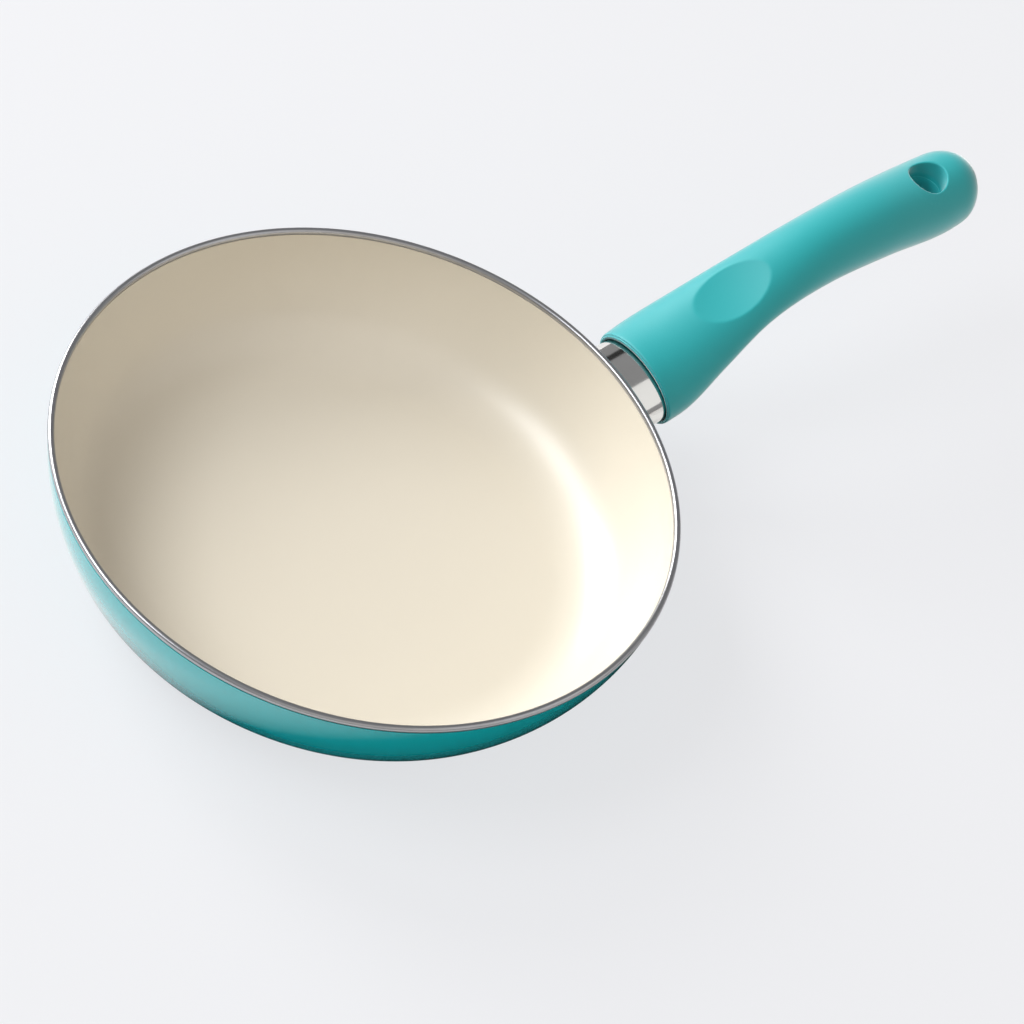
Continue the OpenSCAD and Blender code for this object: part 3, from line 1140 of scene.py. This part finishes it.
@dataclass(frozen=True)
class Fixture:
    """A flat thing that faces the pan, placed by its direction from it as the camera sees it."""

    name: str
    side: float
    up: float
    near: float
    level: float
    width: float = 1.1
    height: float = 1.1
    distance: float = 2.5
    tint: Colour = (1.0, 1.0, 1.0)
    aim: Triple = (0.06, 0.0, 0.04)

    def stand(self, axes: Axes) -> Matrix:
        """Where it stands.

        Args:
            axes: The camera's right, up and backward directions.

        Returns:
            Its place, with its Z axis away from the pan.
        """
        right, up, back = axes
        way = (right * self.side + up * self.up + back * self.near).normalized()
        across = (right - way * right.dot(way)).normalized()
        turn = Matrix((across, way.cross(across), way)).transposed().to_4x4()
        return Matrix.Translation(Vector(self.aim) + way * self.distance) @ turn


class Lamp(Fixture):
    """A softbox; its level is what it adds to a white surface that faces it."""

    def build(self, axes: Axes, spared: Collection) -> None:
        """Adds the lamp.

        Args:
            axes: The camera's right, up and backward directions.
            spared: Pieces that the lamp leaves out.
        """
        light = bpy.data.lights.new(self.name, "AREA")
        light.shape, light.size, light.size_y = "RECTANGLE", self.width, self.height
        light.energy = (math.pi * self.distance)**2 * self.level
        light.color = self.tint
        lamp = bpy.data.objects.new(self.name, light)
        lamp.matrix_world = self.stand(axes)
        lamp.visible_camera = False
        bpy.context.scene.collection.objects.link(lamp)
        lamp.light_linking.receiver_collection = spared


class Card(Fixture):
    """A pale or dark card that only reflections see; its level is how bright it looks."""

    def build(self, axes: Axes, spared: Collection) -> None:
        """Adds the card.

        Args:
            axes: The camera's right, up and backward directions.
            spared: Pieces that see the card black.
        """
        Bench.clear()
        bpy.ops.mesh.primitive_plane_add(size=1.0)
        card = bpy.context.object
        card.name = self.name
        Bench.place(card, self.stand(axes) @ Matrix.Diagonal((self.width, self.height, 1.0, 1.0)))
        card.light_linking.receiver_collection = spared
        Card.finish(card, self.level)

    @staticmethod
    def finish(card: Object, level: float) -> tuple[Tree, Node]:
        """Makes a flat object glow for reflections only.

        Args:
            card: The flat object.
            level: How bright it looks.

        Returns:
            Its material's tree and the node that makes it glow.
        """
        tree = furnish(card, card.name)
        glow = tree.add("Emission", Strength=level)
        tree.add("OutputMaterial", glow.outputs[0])
        card.visible_camera = card.visible_diffuse = card.visible_shadow = False
        return tree, glow


@dataclass
class Studio:
    """Floor, light and the camera at the photograph's angle."""

    azimuth: float = -55.98
    elevation: float = 47.42
    roll: float = 22.4
    distance: float = 1476.55
    shift_right: float = 52.34
    shift_up: float = -16.99
    target_z: float = 50.0
    lens: float = 140.625
    sensor: float = 36.0
    clip: Point = (0.05, 20.0)
    backdrop: Colour = (0.872, 0.879, 0.905)
    ambient: float = 0.31
    fill: Colour = (1.0, 0.935, 0.86)
    reflected: float = 0.33
    floor_size: float = 12.0
    floor_z: float = -0.0004
    glow: float = 0.80
    shaded: float = 0.18
    # The disc under the pan is painted shadow for reflections: dark in its middle, pale at its edge.
    disc_at: Triple = (0.02, -0.04, -0.0002)
    disc_r: float = 0.19
    disc_around: int = 96
    disc_fade: Point = (0.113, 0.143)
    disc_levels: Point = (0.01, 0.95)
    fixtures: tuple[Fixture, ...] = (
        Lamp("high left", -0.50, 0.86, 0.08, 0.70),
        Lamp("back left", -0.60, 0.78, -0.10, 0.36),
        Lamp("left", -0.50, 0.56, 0.66, 0.52, 1.1, 1.4, tint=(0.98, 1.0, 1.03)),
        Lamp("right", 0.85, 0.0, 0.50, 0.17, 2.6, 2.6, tint=(1.0, 0.94, 0.87)),
        Lamp("low front", 0.20, -0.25, 0.95, 0.12, 2.2, 2.2, tint=(1.0, 0.93, 0.85)),
        Card("dark strip", -0.05, 1.0, -0.09, 0.03, 0.9, 0.40, 2.2),
        Card("pale right", 0.82, 0.08, 0.52, 0.95, 1.5, 2.5, 2.2),
    )

    @property
    def axes(self) -> Axes:
        """The camera's directions.

        Returns:
            Its right, up and backward directions.
        """
        a, e, r = (math.radians(v) for v in (self.azimuth, self.elevation, self.roll))
        back = Vector((math.sin(a) * math.cos(e), -math.cos(a) * math.cos(e), math.sin(e)))
        right = Vector((math.cos(a), math.sin(a), 0))
        up = back.cross(right)
        return right * math.cos(r) + up * math.sin(r), up * math.cos(r) - right * math.sin(r), back

    def camera(self) -> None:
        """Adds the camera."""
        right, up, back = self.axes
        place = (Vector((0, 0, self.target_z)) + back * self.distance + right * self.shift_right
                 + up * self.shift_up) * MM
        lens = bpy.data.cameras.new("camera")
        lens.lens, lens.sensor_width = self.lens, self.sensor
        lens.clip_start, lens.clip_end = self.clip
        camera = bpy.data.objects.new("camera", lens)
        bpy.context.scene.collection.objects.link(camera)
        turn = Matrix((right, up, back)).transposed().to_4x4()
        camera.matrix_world = Matrix.Translation(place) @ turn
        bpy.context.scene.camera = camera

    def floor(self) -> None:
        """Adds the pale floor: for the camera mostly glow, and a little shade for the pan's shadow."""
        Bench.clear()
        bpy.ops.mesh.primitive_plane_add(size=self.floor_size, location=(0, 0, self.floor_z))
        floor = bpy.context.object
        floor.name = "floor"
        tree = furnish(floor, "pale floor")
        glow = tree.add("Emission", Color=self.backdrop, Strength=self.glow).outputs[0]
        dim = tuple(c * self.shaded for c in self.backdrop)
        shade, plain = (tree.add("BsdfDiffuse", Color=c).outputs[0] for c in (dim, self.backdrop))
        seen = tree.add("AddShader", glow, shade).outputs[0]
        camera = tree.add("LightPath").outputs["Is Camera Ray"]
        tree.add("OutputMaterial", tree.add("MixShader", camera, plain, seen).outputs[0])

    def underside(self) -> None:
        """Adds a painted contact shadow under the pan: a disc, dark in its middle, that only
        reflections see.
        """
        disc = Bench.circle("painted shadow disc", self.disc_around, self.disc_r, "NGON",
                            location=self.disc_at)
        tree, glow = Card.finish(disc, self.disc_levels[0])
        out = tree.add("VectorMath", tree.place(), self.disc_at, operation="DISTANCE")
        level = tree.span(out.outputs["Value"], self.disc_fade, self.disc_levels)
        tree.fill(glow, Strength=level)

    def world(self) -> None:
        """Lights the scene softly from all round.

        The camera sees a pale background, and reflections see the same background dimmer.
        """
        world = bpy.data.worlds.new("studio")
        bpy.context.scene.world = world
        world.use_nodes = True
        tree = Tree(world.node_tree)
        background = world.node_tree.nodes["Background"]
        path = tree.add("LightPath").outputs
        shine = tree.maths("MAXIMUM", path["Is Glossy Ray"], path["Is Transmission Ray"])
        seen = tree.maths("MAXIMUM", path["Is Camera Ray"], shine)
        lit = tree.maths("MAXIMUM", tree.maths("MULTIPLY", shine, self.reflected), self.ambient)
        tree.fill(background, Color=tree.blend(seen, self.fill, self.backdrop),
                  Strength=tree.maths("MAXIMUM", path["Is Camera Ray"], lit))

    def build(self) -> tuple[Collection, Collection]:
        """Sets up the whole studio.

        Returns:
            The collections of the pieces that the lamps and the cards leave out.
        """
        bpy.context.scene.view_settings.view_transform = "Standard"
        self.camera()
        self.floor()
        self.world()
        # painted shadow under the pan, which only reflections see
        self.underside()
        unlit = bpy.data.collections.new("left out by the lamps")
        dull = bpy.data.collections.new("left out by the cards")
        for fixture in self.fixtures:
            fixture.build(self.axes, unlit if isinstance(fixture, Lamp) else dull)
        return unlit, dull


def main() -> None:
    """Builds the pan and its studio."""
    logging.basicConfig(level=logging.INFO, format="%(message)s")
    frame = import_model()
    unlit, dull = Studio().build()
    finishes = Wardrobe()
    bowl = Bowl()
    bowl.dress(finishes)
    sleeve, grip = Handle().dress(finishes, bowl)
    unlit.objects.link(sleeve)
    dull.objects.link(grip)
    for entry in (*unlit.collection_objects, *dull.collection_objects):
        entry.light_linking.link_state = "EXCLUDE"
    Fixings(frame["nodes"]).dress(finishes)


if __name__ == "__main__":
    main()
